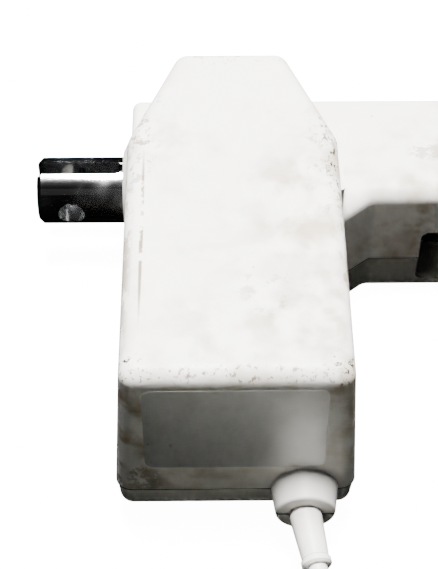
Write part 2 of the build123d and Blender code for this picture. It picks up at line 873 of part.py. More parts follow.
switch_angle = 45.0
switch_slot_width = 6.6
switch_width = 5.8
switch_length = 12.0
board_radius = 24.5
board_width = 8.0
board_thickness = 1.0
switch_slot_start = nut_start - 4.0
switch_slot_end = nut_start + nut_length + stroke + 6.0


def guide_tube():
    """Black guide tube with two key grooves inside and a slot for the limit switches."""
    tube = turned(
        [
            (guide_start, guide_inner_radius),
            (guide_start, guide_outer_radius),
            (tube_end, guide_outer_radius),
            (tube_end, guide_inner_radius),
        ]
    )
    reach = guide_inner_radius + key_depth
    groove = slab((guide_start + 10, -key_width / 2, -reach), (tube_end - bush_length, key_width / 2, reach))
    slot = slab((switch_slot_start, -switch_slot_width / 2, 0), (switch_slot_end, switch_slot_width / 2, 40))
    return tube - groove - Rot(-switch_angle, 0, 0) * slot


def switch_board():
    """Circuit strip along the slot that carries both limit switches."""
    strip = slab(
        (switch_slot_start - 4, -board_width / 2, board_radius), (switch_slot_end + 4, board_width / 2, board_radius + board_thickness)
    )
    return Rot(-switch_angle, 0, 0) * strip


def limit_switches():
    """Two small switches that the nut's cam works at the ends of travel."""
    floor = guide_inner_radius + 1.5
    rest = nut_start + nut_length / 2
    switches = []
    for middle in (rest, rest + stroke):
        body = slab((middle - switch_length / 2, -switch_width / 2, floor + 0.8), (middle + switch_length / 2, switch_width / 2, board_radius - 0.05))
        button = slab((middle - 1.2, -1.5, floor), (middle + 1.2, 1.5, floor + 1))
        switches.append(Rot(-switch_angle, 0, 0) * (body + button))
    return switches


def board_posts():
    """Two moulded spacers that hold the strip off the guide tube."""
    posts = []
    for x in (switch_slot_start - 3, switch_slot_end + 0.6):
        post = slab((x, -2, guide_outer_radius - 0.2), (x + 2.4, 2, board_radius - 0.05))
        posts.append(Rot(-switch_angle, 0, 0) * (post - rod_x(guide_outer_radius + 0.05, 0, tube_end)))
    return posts


clevis_joint = installed_length + pin_to_fork_end - fork_slot_length - 5.5


def piston_tube():
    """Plated rod tube, pushed by the nut."""
    start = rod_start + 0.05
    return turned([(start, tube_bore_radius), (start, rod_radius), (clevis_joint, rod_radius), (clevis_joint, tube_bore_radius)])


def front_clevis():
    """Front fork with a spigot inside the rod tube."""
    end = installed_length + pin_to_fork_end
    spigot = tube_bore_radius - running_gap
    body = turned(
        [
            (spindle_end + 9, 0),
            (spindle_end + 9, spigot - 1),
            (spindle_end + 10, spigot),
            (clevis_joint + 0.05, spigot),
            (clevis_joint + 0.05, rod_radius),
            (end - fork_edge_round, rod_radius),
            (end, rod_radius - fork_edge_round),
            (end, 0),
        ]
    )
    return body - fork_cut(installed_length, 1)


def guide_bush():
    """Plastic bush that guides the rod at the mouth of the guide tube."""
    start = tube_end - bush_length + 0.1
    outside = guide_inner_radius - running_gap
    bore = rod_radius + running_gap
    return turned([(start, bore), (start, outside), (tube_end, outside), (tube_end, bore)])


def cap_profile(inset, start, end):
    """Rounded square block along X that follows the tube's section."""
    middle = (base_top + tube_back) / 2
    section = RectangleRounded(base_top - tube_back - 2 * inset, 2 * tube_half_width - 2 * inset, 7.0)
    return Pos(start, 0, middle) * Rot(0, 90, 0) * extrude(section, amount=end - start)


seal_length = 5.0


def end_cap():
    """Front cap over the tube's mouth, with the wiper's seat."""
    cap = cap_profile(0.2, tube_end, cap_end)
    cap = fillet(cap.faces().sort_by(Axis.X)[-1].edges(), 2.5)
    cap += cap_profile(5.0, tube_end, tube_end + 1) & rod_x(guide_inner_radius, tube_end, tube_end + 1)
    cap -= rod_x(rod_radius + 0.4, tube_end - 1, cap_end + 1)
    cap -= rod_x(rod_radius + 3.5, cap_end - seal_length, cap_end + 1)
    for y, z in cap_screw_places():
        cap -= rod_x(screw_radius + 0.2, tube_end - 1, cap_end + 1, y, z)
        cap -= rod_x(screw_head_radius + 0.3, cap_end - 3, cap_end + 1, y, z)
    return cap


def cap_screw_places():
    """Four screws near the cap's corners, as (y, z)."""
    middle = (base_top + tube_back) / 2
    y = tube_half_width - 7.0
    z = (base_top - tube_back) / 2 - 7.0
    return [(y * a, middle + z * b) for a in (-1, 1) for b in (-1, 1)]


def end_cap_screws():
    """Screws through the cap's corners."""
    screws = []
    for y, z in cap_screw_places():
        seat = cap_end - 3
        screws.append(rod_x(screw_head_radius, seat, seat + screw_head_height, y, z) + rod_x(screw_radius, tube_end + 0.5, seat, y, z))
    return screws


def wiper_seal():
    """Rubber wiper around the rod."""
    outside = rod_radius + 3.4
    start = cap_end - seal_length + 0.05
    lip = rod_radius + 0.06
    return turned([(start, rod_radius + 1.0), (start, outside), (cap_end - 0.6, outside), (cap_end + 0.4, lip + 0.8), (cap_end + 0.4, lip), (cap_end - 1.6, lip)])


# Strain relief and cable
relief_face = -box_reach - gland_length
relief_start = relief_face - relief_root_radius * math.sin(math.radians(relief_lean)) - running_gap


def strain_relief():
    """Moulded sleeve with an inner flange, an outer taper and an end bead."""
    sleeve = turned(
        [
            (0, 0),
            (0, relief_root_radius),
            (relief_length, relief_tip_radius),
            (relief_length, bead_radius - bead_round),
            (relief_length + bead_round, bead_radius),
            (relief_length + bead_width - bead_round, bead_radius),
            (relief_length + bead_width, bead_radius - bead_round),
            (relief_length + bead_width, 0),
        ]
    )
    sleeve = Pos(gland_x, relief_start, parting_height) * Rot(0, 0, -90 + relief_lean) * sleeve
    neck_start = -box_reach + lip_step + wall + relief_flange_radius * draft_slope + rib_gap
    neck_end = neck_start + relief_flange_thickness / 2
    neck = rod_y(relief_neck_radius, relief_start - relief_neck_bite, neck_end, gland_x, parting_height)
    flange = rod_y(relief_flange_radius, neck_start, neck_start + relief_flange_thickness, gland_x, parting_height)
    return sleeve + neck + flange


def relief_end():
    """Centre of the strain relief's far face."""
    lean = math.radians(relief_lean)
    reach = relief_length + bead_width
    return (gland_x + reach * math.sin(lean), relief_start - reach * math.cos(lean), parting_height)


floor_height = tube_back
cable_radius = cable_diameter / 2
top_layer = floor_height + 3 * cable_radius
low_layer = floor_height + cable_radius
socket_height = plug_height / 2 - cable_radius
outer_turn = coil_radius + cable_radius
coil_lead = math.sqrt((coil_radius + 3 * cable_radius) ** 2 - outer_turn**2) + 1.0


def cord_tube(points):
    """Round tube along straight runs joined by arcs as large as the runs allow."""
    vectors = [Vector(*p) for p in points]
    rounds = []
    for before, here, after in zip(vectors, vectors[1:], vectors[2:]):
        into, out = here - before, after - here
        turn = math.radians(into.get_angle(out))
        rounds.append(0.45 * min(into.length, out.length) / math.tan(turn / 2))
    path = FilletPolyline(*points, radius=rounds)
    first = vectors[1] - vectors[0]
    profile = Plane(origin=points[0], z_dir=first) * Circle(cable_radius)
    tube = sweep(profile, path=path)
    expected = math.pi * cable_radius**2 * path.length
    print("cord radii", [round(r, 1) for r in rounds], "length", round(path.length, 1),
          "volume ratio", round(tube.volume / expected, 4))
    return tube


def along_lean(distance, across=0.0):
    """Plan position beyond the strain relief, along its axis and to the right of it."""
    x, y, _ = relief_end()
    lean = math.radians(relief_lean)
    return (
        x + distance * math.sin(lean) - across * math.cos(lean),
        y - distance * math.cos(lean) - across * math.sin(lean),
    )


coil_start = sum(free_runs) + coil_lead


def cable_points():
    """Route from the strain relief down to the coil's upper layer."""
    heights = [parting_height, parting_height, parting_height - free_drop, top_layer, top_layer]
    reach = 0.0
    points = [(*along_lean(reach), heights[0])]
    for run, height in zip(free_runs, heights[1:]):
        reach += run
        points.append((*along_lean(reach), height))
    return points


def tail_points():
    """Route from the coil's lower layer, round the coil's outside, to the plug."""
    x, y = along_lean(coil_start + coil_lead)
    heading = relief_lean - 90.0
    points = [(x, y, low_layer)]
    for run, turn in zip(tail_runs, (*tail_turns, 0.0)):
        x += run * math.cos(math.radians(heading))
        y += run * math.sin(math.radians(heading))
        points.append((x, y, low_layer))
        heading -= turn
    return points


def cable_coil():
    """Outer shape of four turns, two side by side in two layers, with both ends leading off."""
    inner = coil_radius - 2 * cable_radius
    outer = coil_radius + 2 * cable_radius + coil_slack
    low = floor_height + coil_slack
    high = floor_height + 4 * cable_radius + coil_slack
    ring = rod_z(outer, low, high) - rod_z(inner, low - past, high + past)
    ring += rod_y(cable_radius, 0, coil_lead, outer_turn, top_layer)
    ring += rod_y(cable_radius, -coil_lead, 0, outer_turn, low_layer)
    return Pos(*along_lean(coil_start, outer_turn), 0) * Rot(0, 0, relief_lean) * ring


def plug_frame(part):
    """Puts a part made along -X from the origin at the end of the tail."""
    return Pos(*tail_points()[-1]) * part


def plug_body():
    """Two-way plug that lies on the surface, with a rounded back and a latch."""
    top = plug_height - cable_radius
    side = plug_back_width / 2
    back = slab((-plug_back_length, -side, -cable_radius), (0, side, plug_back_width - cable_radius))
    back = fillet(back.edges().filter_by(Axis.X), side * 0.5)
    front = slab((-plug_length, -plug_width / 2, -cable_radius), (-plug_back_length, plug_width / 2, top))
    front = fillet(front.edges().filter_by(Axis.X), 0.8)
    latch = slab((-plug_length + 2, -2.2, top - 0.5), (-plug_length + 12, 2.2, top + plug_latch))
    body = back + front + latch
    for y in (-socket_offset, socket_offset):
        body -= rod_x(socket_radius + fit_gap, -plug_length - past, -plug_back_length - 4, y, socket_height)
    return plug_frame(body)


def plug_contacts():
    """Two round sockets in the plug."""
    start = -plug_length + 0.6
    end = -plug_back_length - 4.1
    sockets = []
    for y in (-socket_offset, socket_offset):
        tube = rod_x(socket_radius, start, end, y, socket_height)
        tube -= rod_x(socket_radius - 0.6, start - past, end - 2, y, socket_height)
        sockets.append(plug_frame(tube))
    return sockets


rear_inner, rear_outer = ball_bearing(rear_bearing_size, rear_bearing_start)
front_inner, front_outer = ball_bearing(front_bearing_size, front_bearing_start)
motor_inner, motor_outer = ball_bearing(motor_bearing_size, -motor_flange_reach)

pieces = {
    "front_shell": front_shell(),
    "back_shell": back_shell(),
    "housing_screws": housing_screws(),
    "rear_clevis": rear_clevis(),
    "rear_cross_pin": rear_cross_pin(),
    "gear_case": gear_case(),
    "gear_case_cover": gear_case_cover(),
    "cover_screws": cover_screws(),
    "rear_bearing_outer": rear_outer,
    "rear_bearing_inner": rear_inner,
    "front_bearing_outer": front_outer,
    "front_bearing_inner": front_inner,
    "bearing_circlip": bearing_circlip(),
    "worm_wheel": worm_wheel(),
    "wheel_key": key_block(0),
    "spindle": spindle(),
    "lock_nut": lock_nut(),
    "spindle_spacer": spindle_spacer(),
    "spindle_stop": spindle_stop(),
    "worm_shaft": worm_shaft(),
    "nose_bush": nose_bush(),
    "motor_bearing_outer": onto_motor_axis(motor_outer),
    "motor_bearing_inner": onto_motor_axis(motor_inner),
    "motor_can": motor_can(),
    "motor_front_plate": motor_front_plate(),
    "motor_screws": motor_screws(),
    "motor_magnets": motor_magnets(),
    "armature_core": armature_core(),
    "armature_windings": armature_windings(),
    "commutator": commutator(),
    "brush_holder": brush_holder(),
    "brushes": brushes(),
    "rear_bush": rear_bush(),
    "guide_tube": guide_tube(),
    "spindle_nut": spindle_nut(),
    "piston_tube": piston_tube(),
    "front_clevis": front_clevis(),
    "guide_bush": guide_bush(),
    "end_cap": end_cap(),
    "end_cap_screws": end_cap_screws(),
    "wiper_seal": wiper_seal(),
    "switch_board": switch_board(),
    "limit_switches": limit_switches(),
    "board_posts": board_posts(),
    "strain_relief": strain_relief(),
    "cable": cord_tube(cable_points()),
    "cable_coil": cable_coil(),
    "cable_tail": cord_tube(tail_points()),
    "plug_body": plug_body(),
    "plug_contacts": plug_contacts(),
}

os.makedirs("parts", exist_ok=True)
for name, piece in pieces.items():
    shape = Compound(children=piece) if isinstance(piece, list) else piece
    export_step(shape, f"parts/{name}.step")
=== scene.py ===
import json
import math

import bmesh
import bpy
from mathutils import Matrix, Vector


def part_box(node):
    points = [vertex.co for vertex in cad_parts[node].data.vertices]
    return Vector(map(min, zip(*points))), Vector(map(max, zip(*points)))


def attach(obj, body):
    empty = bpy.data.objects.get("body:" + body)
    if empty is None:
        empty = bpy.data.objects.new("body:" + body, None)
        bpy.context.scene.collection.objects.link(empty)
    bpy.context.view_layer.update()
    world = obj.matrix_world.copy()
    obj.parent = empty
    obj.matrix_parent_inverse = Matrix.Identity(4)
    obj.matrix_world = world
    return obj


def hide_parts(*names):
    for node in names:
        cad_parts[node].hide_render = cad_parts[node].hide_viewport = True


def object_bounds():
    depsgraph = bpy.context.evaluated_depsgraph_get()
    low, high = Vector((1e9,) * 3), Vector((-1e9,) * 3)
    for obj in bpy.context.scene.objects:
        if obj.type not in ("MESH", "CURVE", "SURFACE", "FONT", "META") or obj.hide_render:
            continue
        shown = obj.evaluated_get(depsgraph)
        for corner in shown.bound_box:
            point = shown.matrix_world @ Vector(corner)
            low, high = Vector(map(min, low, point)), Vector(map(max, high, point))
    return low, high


# Electric linear actuator on its back, seen from above its motor end
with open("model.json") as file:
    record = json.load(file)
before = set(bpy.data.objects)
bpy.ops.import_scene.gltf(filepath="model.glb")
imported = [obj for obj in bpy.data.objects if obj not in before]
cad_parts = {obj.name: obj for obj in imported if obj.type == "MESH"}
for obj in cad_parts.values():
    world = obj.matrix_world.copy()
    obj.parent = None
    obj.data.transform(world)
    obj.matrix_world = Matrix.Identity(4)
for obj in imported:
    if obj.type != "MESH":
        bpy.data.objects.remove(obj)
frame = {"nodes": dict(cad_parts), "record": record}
nodes = frame["nodes"]
scene = bpy.context.scene
cadBox = [list(corner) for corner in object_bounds()]
mm = 0.001  # sizes and places are written in millimetres
floorLevel = round(cadBox[0][2] / mm, 3)  # under the back shell
partingHeight = -10.0  # where front and back shell meet
print("frame loaded:", len(nodes), "nodes")


# Camera: the photograph's view, 438 by 569 pixels
camera = {
    "place": (52.35, -375.9, 406.6),
    "right": (1.0, -0.0082, 0.0),
    "towards": (0.0052, 0.6293, -0.7771),
    "lens": 91.74,
    "sensor": 36.0,
    "near": 10.0,
    "far": 20000.0,
}


def makeCamera(v):
    data = bpy.data.cameras.new("viewCamera")
    data.lens = v["lens"]
    data.sensor_width = v["sensor"]
    data.clip_start = v["near"] * mm
    data.clip_end = v["far"] * mm
    holder = bpy.data.objects.new("viewCamera", data)
    scene.collection.objects.link(holder)
    forward = Vector(v["towards"]).normalized()
    right = Vector(v["right"])
    right = (right - forward * right.dot(forward)).normalized()
    up = right.cross(forward)
    turn = Matrix((right, up, -forward)).transposed().to_4x4()
    holder.matrix_world = Matrix.Translation(Vector(v["place"]) * mm) @ turn
    scene.camera = holder


makeCamera(camera)
print("camera set")


# Cord: out of the strain relief, over the floor, three put-away turns, then round to the plug
cord = {
    "diameter": 6.4,
    "gland": (82.7, -136.395, partingHeight),
    "lean": 9.0,  # degrees off the motor's axis
    "reliefReach": 18.8,
    "freeRuns": (12.0, 15.0, 15.0, 12.0),
    "freeDrop": 3.4,
    "coilRadius": 33.0,  # middle of the two laps that lie side by side
    "leadSpare": 1.0,
    "turns": 3,
    "pointsPerTurn": 24,
    "inwards": (280, 360),  # degrees round the coil, from start to end of each change
    "downwards": (600, 660),
    "outwards": (880, 960),
    "dip": (10, 80),
    "rise": (160, 235),
    "tailRuns": (14.0, 18.0, 18.0, 18.0, 14.0),
    "tailTurns": (22.0, 27.5, 27.5, 22.0, 0.0),
    "sideSteps": 5,
    "runSteps": 6,
    "curveOrder": 3,
}


def coilSizes(v):
    radius = v["diameter"] / 2
    outer = v["coilRadius"] + radius
    edge = v["coilRadius"] + 3 * radius
    return {
        "outer": outer,
        "inner": v["coilRadius"] - radius,
        "top": floorLevel + 3 * radius,
        "low": floorLevel + radius,
        "lead": math.sqrt(edge**2 - outer**2) + v["leadSpare"],  # straight, until clear of the coil
    }


# Outside on top, inside on top, inside below, outside below; the first lap dips where none lies under it
def coilPlace(v, coil, turn):
    def eased(change):
        start, end = v[change]
        share = min(max((turn - start) / (end - start), 0.0), 1.0)
        return share * share * (3 - 2 * share)

    wide = coil["outer"] - coil["inner"]
    deep = coil["top"] - coil["low"]
    radius = coil["outer"] - wide * eased("inwards") + wide * eased("outwards")
    height = coil["top"] - deep * eased("downwards")
    height -= deep * (eased("dip") - eased("rise"))
    return radius, height


def cordRoute(v):
    coil = coilSizes(v)
    lean = math.radians(v["lean"])
    gx, gy, gz = v["gland"]

    def along(distance, across=0.0):
        reach = v["reliefReach"] + distance
        x = gx + reach * math.sin(lean) - across * math.cos(lean)
        y = gy - reach * math.cos(lean) - across * math.sin(lean)
        return x, y

    points = []
    reach = 0.0
    heights = (gz, gz, gz - v["freeDrop"], coil["top"], coil["top"])
    for run, height in zip((0.0, *v["freeRuns"]), heights):
        reach += run
        points.append((*along(reach), height))
    reach += coil["lead"]
    cx, cy = along(reach, coil["outer"])
    for i in range(v["turns"] * v["pointsPerTurn"] + 1):
        turn = i * 360 / v["pointsPerTurn"]
        radius, height = coilPlace(v, coil, turn)
        angle = lean - math.radians(turn)
        points.append((cx + radius * math.cos(angle), cy + radius * math.sin(angle), height))
    x, y = along(reach + coil["lead"])
    points.append((x, y, coil["low"]))
    heading = v["lean"] - 90.0
    for run, turn in zip(v["tailRuns"], v["tailTurns"]):
        x += run * math.cos(math.radians(heading))
        y += run * math.sin(math.radians(heading))
        points.append((x, y, coil["low"]))
        heading -= turn
    return [tuple(c * mm for c in p) for p in points]


# Length of the centre line, read from a copy that has no thickness
def cordLength(piece):
    data = piece.data.copy()
    data.bevel_depth = 0.0
    bare = bpy.data.objects.new("measure", data)
    line = bpy.data.meshes.new_from_object(bare)
    ends = [[line.vertices[i].co for i in edge.vertices] for edge in line.edges]
    length = sum((a - b).length for a, b in ends)
    bpy.data.objects.remove(bare)
    return length


def makeCord(v):
    route = cordRoute(v)
    data = bpy.data.curves.new("supplyCord", "CURVE")
    data.dimensions = "3D"
    data.bevel_depth = 1.0  # each point's radius gives the thickness
    data.bevel_resolution = v["sideSteps"]
    data.resolution_u = v["runSteps"]
    data.use_fill_caps = True
    line = data.splines.new("NURBS")
    line.points.add(len(route) - 1)
    for point, place in zip(line.points, route):
        point.co = (*place, 1.0)
        point.radius = v["diameter"] * mm / 2
    line.order_u = v["curveOrder"]
    line.use_endpoint_u = True
    piece = bpy.data.objects.new("supplyCord", data)
    scene.collection.objects.link(piece)
    bpy.context.view_layer.update()
    length = cordLength(piece)
    print("cord length", round(length, 4))
    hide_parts("cable", "cable_coil", "cable_tail")
    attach(piece, "housing")
    return piece


supplyCord = makeCord(cord)
print("cord laid")


# Small kit for building node trees; a socket is given by its name, or by i and its number
def put(tree, kind, settings=None, **inputs):
    node = tree.nodes.new(kind)
    for name, value in (settings or {}).items():
        setattr(node, name, value)
    for name, value in inputs.items():
        plug(tree, node, name.replace("_", " "), value)
    return node


def plug(tree, node, name, value):
    numbered = name[0] == "i" and name[1:].isdigit()
    socket = node.inputs[int(name[1:]) if numbered else name]
    if isinstance(value, bpy.types.NodeSocket):
        tree.links.new(value, socket)
    elif isinstance(value, bpy.types.Node):
        tree.links.new(value.outputs[0], socket)
    else:
        socket.default_value = value


def maths(tree, how, a, b=None, clamp=False):
    node = tree.nodes.new("ShaderNodeMath")
    node.operation = how
    node.use_clamp = clamp
    plug(tree, node, "i0", a)
    if b is not None:
        plug(tree, node, "i1", b)
    return node.outputs[0]


def plus(tree, a, b):
    return maths(tree, "ADD", a, b)


def times(tree, a, b, clamp=False):
    return maths(tree, "MULTIPLY", a, b, clamp)


def flip(tree, value):
    return maths(tree, "SUBTRACT", 1.0, value)


def vectorMaths(tree, how, a, b=None):
    node = put(tree, "ShaderNodeVectorMath", {"operation": how}, i0=a)
    if b is not None:
        plug(tree, node, "i1", b)
    return node


def noise(tree, place, scale, detail, **more):
    return put(tree, "ShaderNodeTexNoise", Vector=place, Scale=scale, Detail=detail, **more).outputs[0]


def blendColour(tree, share, a, b):
    mixed = put(tree, "ShaderNodeMix", {"data_type": "RGBA", "blend_type": "MIX"}, i0=share, i6=a, i7=b)
    return mixed.outputs[2]


# From 0 at the low value to 1 at the high one, eased at both ends
def spread(tree, value, low, high):
    node = put(tree, "ShaderNodeMapRange", {"interpolation_type": "SMOOTHSTEP"}, Value=value,
               From_Min=low, From_Max=high)
    return node.outputs[0]


def newGroup(name, kind, takes, gives):
    group = bpy.data.node_groups.new(name, kind)
    for way, sockets in (("INPUT", takes), ("OUTPUT", gives)):
        for label, socketKind in sockets.items():
            group.interface.new_socket(name=label, in_out=way, socket_type=socketKind)
    given = group.nodes.new("NodeGroupInput").outputs
    out = group.nodes.new("NodeGroupOutput").inputs
    return group, given, out


number, colour, vector = "NodeSocketFloat", "NodeSocketColor", "NodeSocketVector"


# Fine moulded or cast grain as a height
grainShape = {"softShare": 0.45, "softDetail": 2.0, "waveScale": 38.0, "waveDetail": 1.0}


def makeGrainGroup(v):
    takes = {"Vector": vector, "Scale": number, "Waves": number}
    group, given, out = newGroup("fineGrain", "ShaderNodeTree", takes, {"Height": number})
    place = given["Vector"]
    pebbles = put(group, "ShaderNodeTexVoronoi", {"feature": "F1"}, Vector=place, Scale=given["Scale"])
    soft = noise(group, place, times(group, given["Scale"], v["softShare"]), v["softDetail"])
    broad = noise(group, place, v["waveScale"], v["waveDetail"])
    fine = plus(group, pebbles.outputs["Distance"], soft)
    waves = times(group, broad, given["Waves"])
    group.links.new(plus(group, fine, waves), out["Height"])
    return group


# Yellowing, stains and specks over a base colour
ageShape = {
    "cloudDetail": 5.0,
    "cloudRoughness": 0.62,
    "cloudDistortion": 0.4,
    "cloudEdge": (0.42, 0.75),
    "mottleShare": 9.0,
    "mottleDetail": 3.0,
    "mottleEdge": (0.36, 0.66),
    "speckScale": 150.0,
    "speckEdge": (0.02, 0.085),
    "speckChoice": (0.86, 0.88),
    "speckColour": (0.16, 0.11, 0.07, 1),
}


def makeAgeGroup(v):
    takes = {"Vector": vector, "Base": colour, "Stain": colour, "Amount": number, "Specks": number,
             "Scale": number}
    group, given, out = newGroup("ageMarks", "ShaderNodeTree", takes, {"Color": colour, "Dirt": number})
    place = given["Vector"]
    cloud = noise(group, place, given["Scale"], v["cloudDetail"], Roughness=v["cloudRoughness"],
                  Distortion=v["cloudDistortion"])
    small = noise(group, place, times(group, given["Scale"], v["mottleShare"]), v["mottleDetail"])
    patches = spread(group, cloud, *v["cloudEdge"])
    mottled = times(group, patches, spread(group, small, *v["mottleEdge"]))
    dirt = times(group, mottled, given["Amount"], clamp=True)
    dots = put(group, "ShaderNodeTexVoronoi", {"feature": "F1"}, Vector=place, Scale=v["speckScale"])
    near = flip(group, spread(group, dots.outputs["Distance"], *v["speckEdge"]))
    picked = put(group, "ShaderNodeSeparateColor", Color=dots.outputs["Color"])
    chosen = spread(group, picked.outputs[0], *v["speckChoice"])
    speck = times(group, times(group, near, chosen), given["Specks"], clamp=True)
    stained = blendColour(group, dirt, given["Base"], given["Stain"])
    group.links.new(blendColour(group, speck, stained, v["speckColour"]), out["Color"])
    group.links.new(maths(group, "MAXIMUM", dirt, speck), out["Dirt"])
    return group


# A soft-edged mark at one place on the surface, broken up by noise
markShape = {
    "fade": (0.55, 1.0),
    "detail": 6.0,
    "roughness": 0.7,
    "limit": 0.78,
    "solidShare": 0.5,
    "edge": 0.06,
}


def makeMarkGroup(v):
    takes = {"Vector": vector, "Centre": vector, "Reach": vector, "Scale": number, "Solid": number,
             "Streak": vector}
    group, given, out = newGroup("localMark", "ShaderNodeTree", takes, {"Mask": number})
    away = vectorMaths(group, "SUBTRACT", given["Vector"], given["Centre"])
    far = vectorMaths(group, "LENGTH", vectorMaths(group, "DIVIDE", away, given["Reach"]))
    fade = flip(group, spread(group, far.outputs["Value"], *v["fade"]))
    drawn = vectorMaths(group, "MULTIPLY", given["Vector"], given["Streak"])
    rough = noise(group, drawn, given["Scale"], v["detail"], Roughness=v["roughness"])
    limit = maths(group, "SUBTRACT", v["limit"], times(group, given["Solid"], v["solidShare"]))
    broken = spread(group, rough, limit, plus(group, limit, v["edge"]))
    group.links.new(times(group, fade, broken, clamp=True), out["Mask"])
    return group


# Long fine lines along one direction, for drawn, turned or ground metal
streakShape = {"lineDetail": 4.0, "smudgeScale": 70.0, "smudgeDetail": 3.0}


def makeStreakGroup(v):
    takes = {"Vector": vector, "Stretch": vector, "Scale": number}
    group, given, out = newGroup("metalStreaks", "ShaderNodeTree", takes, {"Lines": number, "Smudge": number})
    drawn = vectorMaths(group, "MULTIPLY", given["Vector"], given["Stretch"])
    group.links.new(noise(group, drawn, given["Scale"], v["lineDetail"]), out["Lines"])
    group.links.new(noise(group, given["Vector"], v["smudgeScale"], v["smudgeDetail"]), out["Smudge"])
    return group


fineGrain = makeGrainGroup(grainShape)
ageMarks = makeAgeGroup(ageShape)
localMark = makeMarkGroup(markShape)
metalStreaks = makeStreakGroup(streakShape)
print("shader groups built")


def useGroup(tree, group, **inputs):
    return put(tree, "ShaderNodeGroup", {"node_tree": group}, **inputs).outputs


def newMaterial(name):
    made = bpy.data.materials.new(name)
    made.use_nodes = True
    tree = made.node_tree
    shader = tree.nodes["Principled BSDF"]
    place = tree.nodes.new("ShaderNodeTexCoord").outputs["Object"]
    return made, tree, shader, place


def addBump(tree, shader, height, depth, strength):
    bump = put(tree, "ShaderNodeBump", Height=height, Distance=depth * mm, Strength=strength)
    tree.links.new(bump.outputs[0], shader.inputs["Normal"])


def addGrain(tree, shader, place, v):
    grain = useGroup(tree, fineGrain, Vector=place, Scale=v["grainScale"], Waves=v["grainWaves"])
    addBump(tree, shader, grain["Height"], v["grainDepth"], v["grainStrength"])


def markShare(tree, place, mark):
    found = useGroup(tree, localMark, Vector=place, Centre=[c * mm for c in mark["centre"]],
                     Reach=[c * mm for c in mark["reach"]], Scale=mark["scale"], Solid=mark["solid"],
                     Streak=mark.get("streak", (1.0, 1.0, 1.0)))
    return times(tree, found["Mask"], mark["strength"])


# Warm white moulded housing
housingFinish = {
    "base": (0.88, 0.86, 0.805, 1),
    "stain": (0.36, 0.27, 0.15, 1),
    "ageScale": 10.0,
    "roughness": 0.42,
    "dirtRoughness": 0.3,
    "seamHeight": partingHeight,
    "seamReach": (0.25, 0.6),
    "seamColour": (0.06, 0.05, 0.04, 1),
    "seamStrength": 0.8,
    "grainScale": 1100.0,
    "grainWaves": 0.5,
    "grainDepth": 0.03,
    "grainStrength": 0.16,
}

# Dark nicks and brown rubbed places of the front shell, the nicks down its right edge first
scuffColour = (0.012, 0.010, 0.008, 1)
brownColour = (0.16, 0.10, 0.045, 1)
frontMarks = [
    {"centre": (96.0, -24.0, 46.0), "reach": (8.0, 34.0, 9.0), "colour": scuffColour, "strength": 1.0,
     "solid": 0.47, "scale": 520.0, "streak": (1.0, 0.6, 1.0)},
    {"centre": (98.5, -82.0, 44.0), "reach": (3.5, 34.0, 9.0), "colour": scuffColour, "strength": 1.0,
     "solid": 0.49, "scale": 480.0, "streak": (1.0, 0.6, 1.0)},
    {"centre": (94.0, -30.0, 47.0), "reach": (12.0, 40.0, 8.0), "colour": brownColour, "strength": 0.55,
     "solid": 0.46, "scale": 300.0},
    {"centre": (29.5, -64.0, 49.0), "reach": (0.8, 44.0, 6.0), "colour": brownColour, "strength": 0.9,
     "solid": 0.72, "scale": 90.0},
    {"centre": (27.0, -124.0, -5.0), "reach": (13.0, 6.0, 12.0), "colour": brownColour, "strength": 0.4,
     "solid": 0.62, "scale": 110.0},
    {"centre": (26.0, -14.0, 47.0), "reach": (12.0, 38.0, 10.0), "colour": brownColour, "strength": 0.75,
     "solid": 0.48, "scale": 240.0},
    {"centre": (26.0, -120.0, 48.0), "reach": (10.0, 9.0, 5.0), "colour": scuffColour, "strength": 1.0,
     "solid": 0.48, "scale": 560.0},
    {"centre": (94.0, -120.0, 48.0), "reach": (10.0, 9.0, 5.0), "colour": scuffColour, "strength": 1.0,
     "solid": 0.47, "scale": 560.0},
    {"centre": (60.0, -122.0, 48.5), "reach": (44.0, 5.5, 4.0), "colour": brownColour, "strength": 0.85,
     "solid": 0.47, "scale": 460.0},
    {"centre": (21.5, -66.0, 48.0), "reach": (6.0, 74.0, 7.0), "colour": brownColour, "strength": 0.65,
     "solid": 0.6, "scale": 160.0, "streak": (1.0, 0.5, 1.0)},
    {"centre": (98.5, -66.0, 48.0), "reach": (6.0, 74.0, 7.0), "colour": brownColour, "strength": 0.6,
     "solid": 0.56, "scale": 160.0, "streak": (1.0, 0.5, 1.0)},
    {"centre": (60.0, 22.0, 48.0), "reach": (34.0, 8.0, 5.0), "colour": brownColour, "strength": 0.6,
     "solid": 0.42, "scale": 300.0},
    {"centre": (72.0, -88.0, 49.0), "reach": (15.0, 15.0, 6.0), "colour": brownColour, "strength": 0.4,
     "solid": 0.5, "scale": 120.0},
    {"centre": (132.0, -4.0, 24.0), "reach": (9.0, 6.0, 6.0), "colour": brownColour, "strength": 0.5,
     "solid": 0.6, "scale": 160.0},
    {"centre": (160.0, 6.0, 24.0), "reach": (34.0, 12.0, 6.0), "colour": brownColour, "strength": 0.3,
     "solid": 0.55, "scale": 90.0},
]
shells = {
    "front_shell": {"name": "frontShellPlastic", "stains": 1.0, "specks": 0.9, "marks": frontMarks},
    "back_shell": {"name": "backShellPlastic", "stains": 0.2, "specks": 0.4, "marks": []},
    "end_cap": {"name": "endCapPlastic", "stains": 0.15, "specks": 0.3, "marks": []},
}


